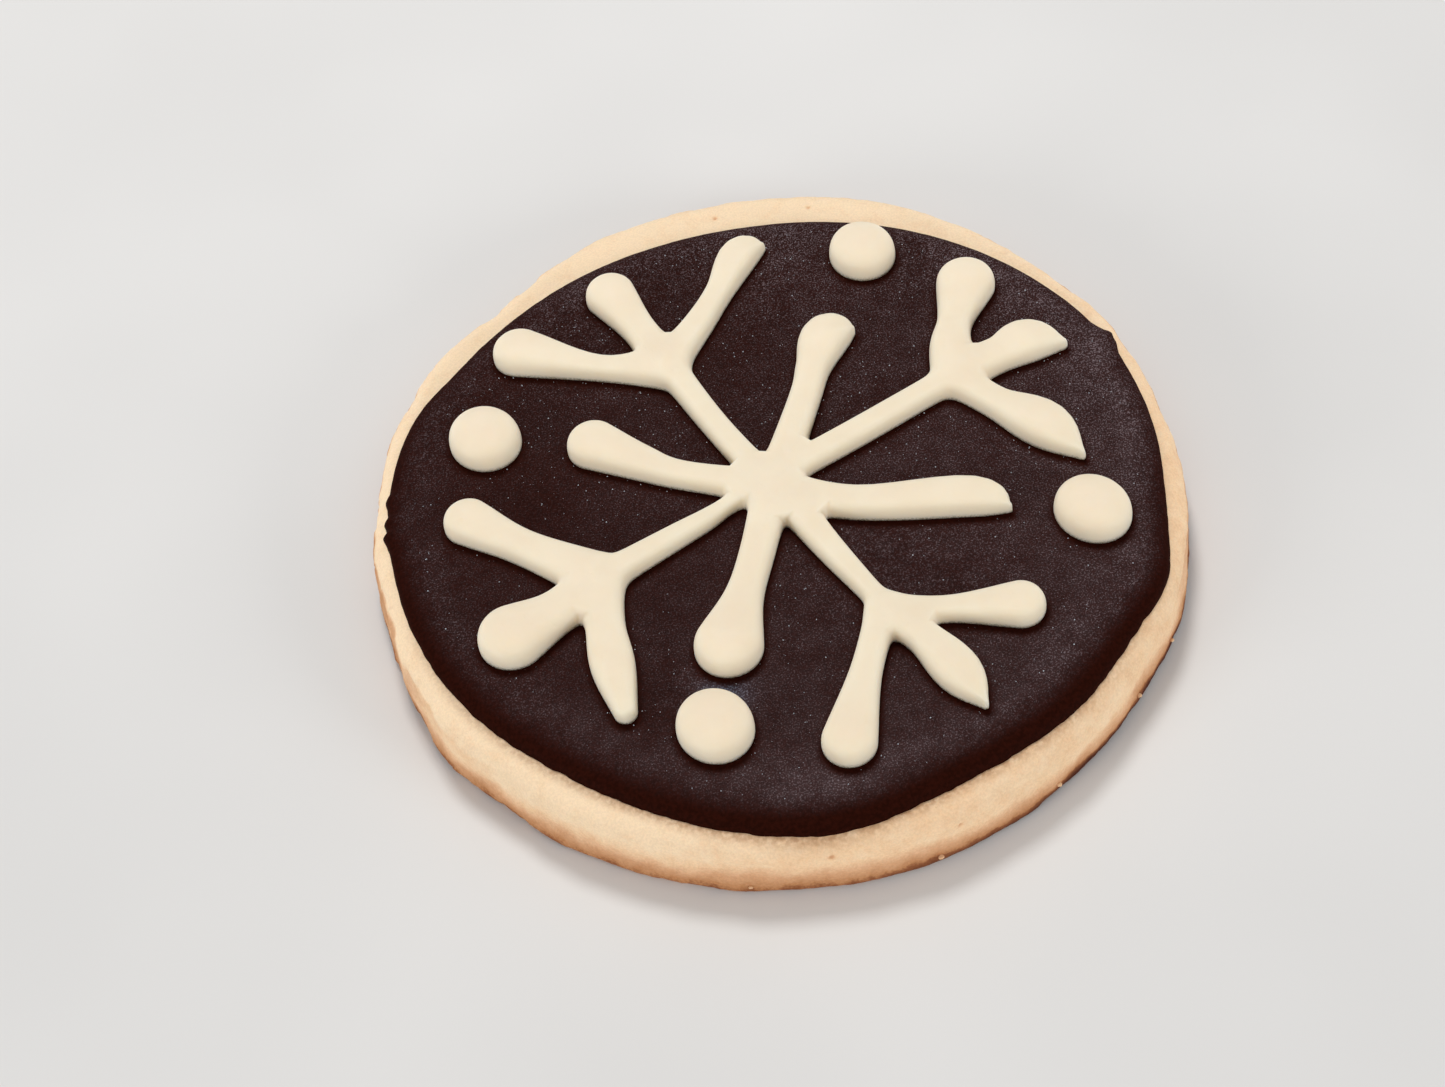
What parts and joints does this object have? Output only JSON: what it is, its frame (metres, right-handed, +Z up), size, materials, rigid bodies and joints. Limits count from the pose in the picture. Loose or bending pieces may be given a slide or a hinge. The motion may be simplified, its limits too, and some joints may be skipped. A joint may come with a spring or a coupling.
{
  "type": "decorated sugar cookie",
  "caption": "Round baked sugar cookie with a flooded dark icing top and a raised piped snowflake with dots, lying flat on its underside.",
  "frame": {"origin": "middle of the underside of the biscuit's bounding box, on the surface it lies on", "axes": "+Z up through the thickness, icing on top; +X to the right and +Y away as the cookie lies in the picture"},
  "size_m": [0.0842, 0.0864, 0.0111],
  "materials": {
    "baked_dough": "matte baked crumb, browned at the cut edge",
    "dark_sugar": "satin dried icing with fine sugar sparkle",
    "white_sugar": "matte dried icing"
  },
  "bodies": {
    "root": {"biscuit": "baked_dough", "dark_icing": "dark_sugar", "snowflake": "white_sugar", "dot_far": "white_sugar", "dot_left": "white_sugar", "dot_near": "white_sugar", "dot_right": "white_sugar"}
  },
  "joints": []
}
